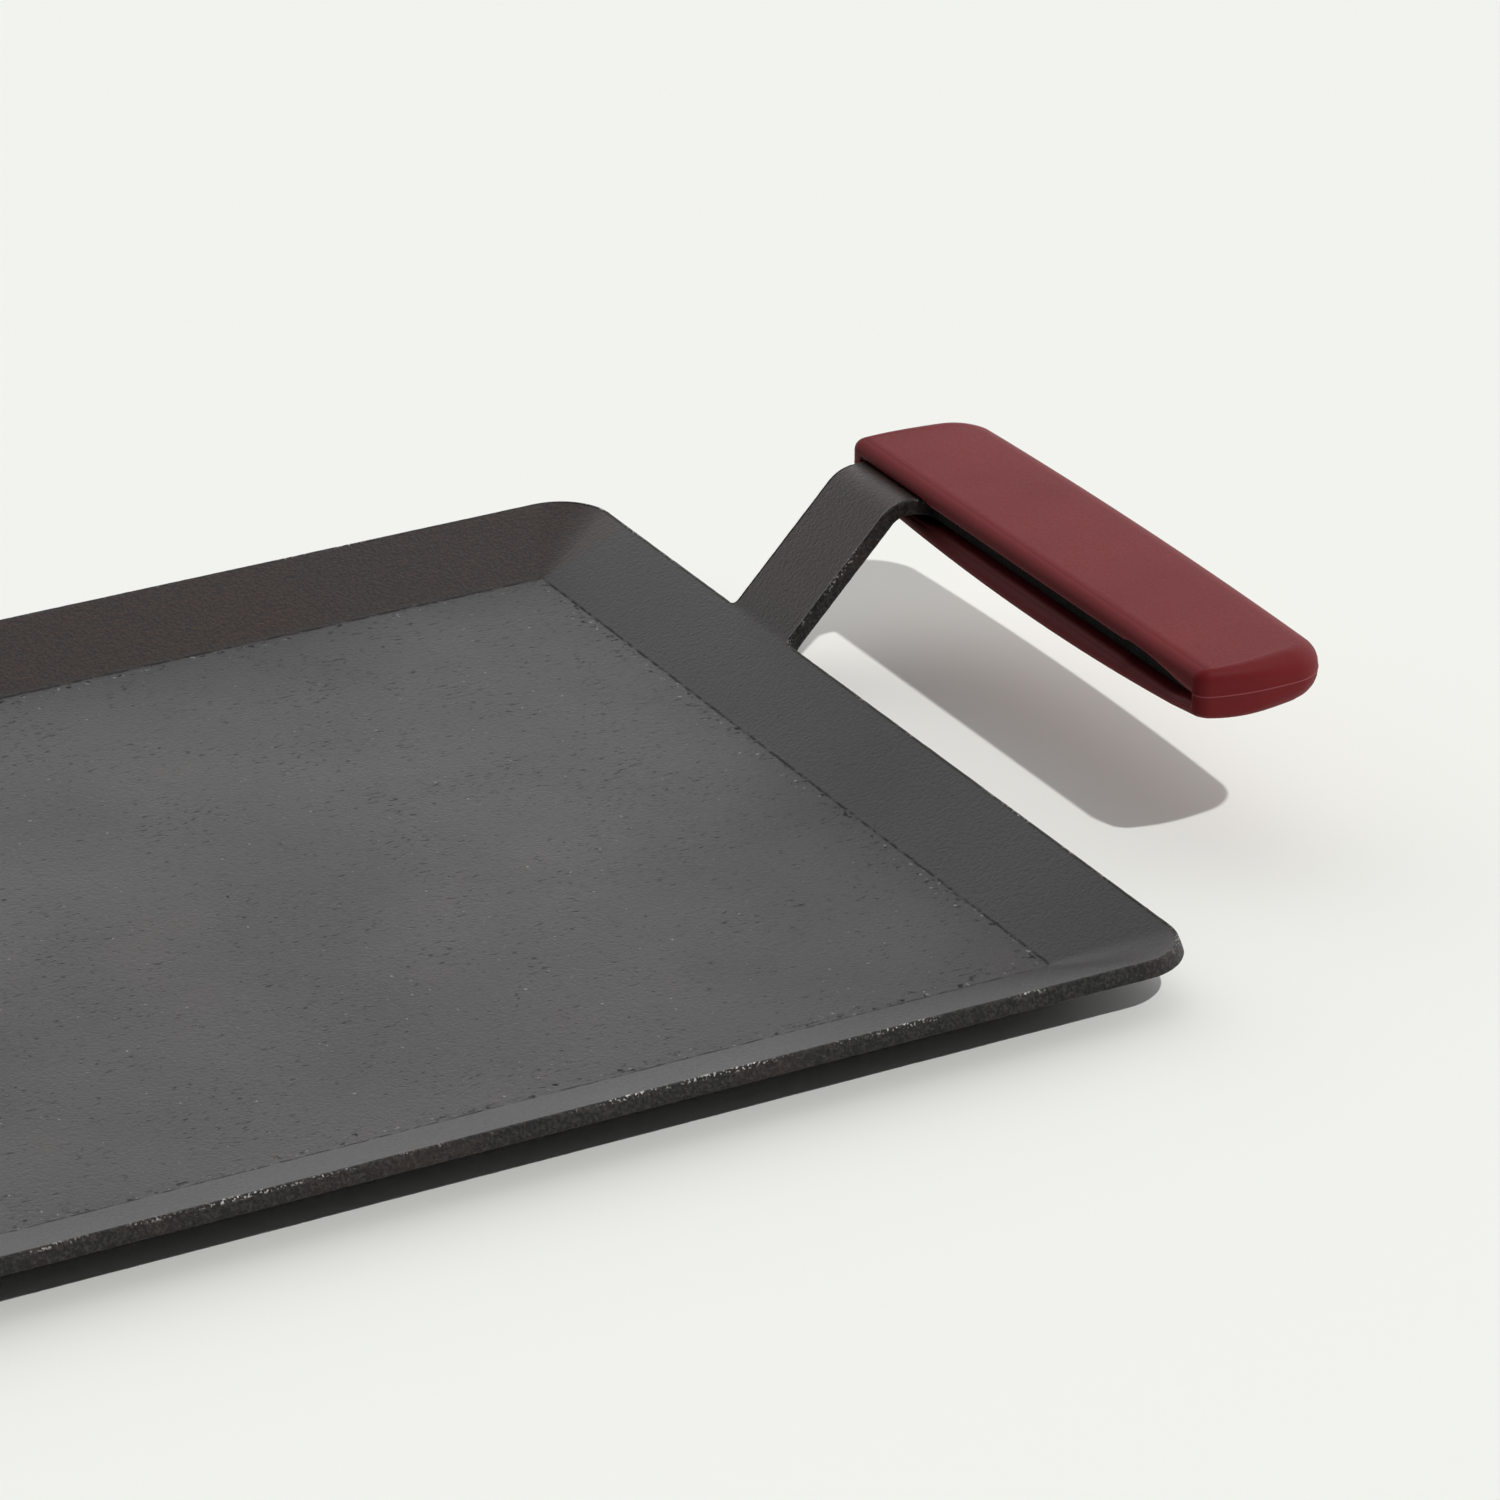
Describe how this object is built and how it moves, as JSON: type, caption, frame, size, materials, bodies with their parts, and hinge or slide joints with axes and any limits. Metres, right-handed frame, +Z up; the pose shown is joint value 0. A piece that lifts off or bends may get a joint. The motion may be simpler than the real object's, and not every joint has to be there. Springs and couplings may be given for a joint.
{
  "type": "griddle",
  "caption": "Flat pressed steel griddle with shallow sloping walls, L-shaped strap handles at both ends and slip-on silicone grips.",
  "frame": {"origin": "on the table under the middle of the plate, at the centre of the whole part's footprint", "axes": "+X along the length towards the right grip, +Y across the plate to its back long side, +Z up"},
  "size_m": [0.5836, 0.2564, 0.0415],
  "materials": {
    "plate_steel": "dark carbon steel, satin, fine rolling marks along its length, rough cut edges",
    "grip_silicone": "matte dark red silicone with a soft sheen and a fine parting line"
  },
  "bodies": {
    "griddle": {"griddle_plate": "plate_steel"},
    "right_grip": {"right_grip": "grip_silicone"},
    "left_grip": {"left_grip": "grip_silicone"}
  },
  "joints": [
    {"name": "right_grip_slide", "type": "slide", "parent": "griddle", "child": "right_grip", "axis": [1, 0, 0], "range_m": [0, 0.03]},
    {"name": "left_grip_slide", "type": "slide", "parent": "griddle", "child": "left_grip", "axis": [-1, 0, 0], "range_m": [0, 0.03]}
  ]
}
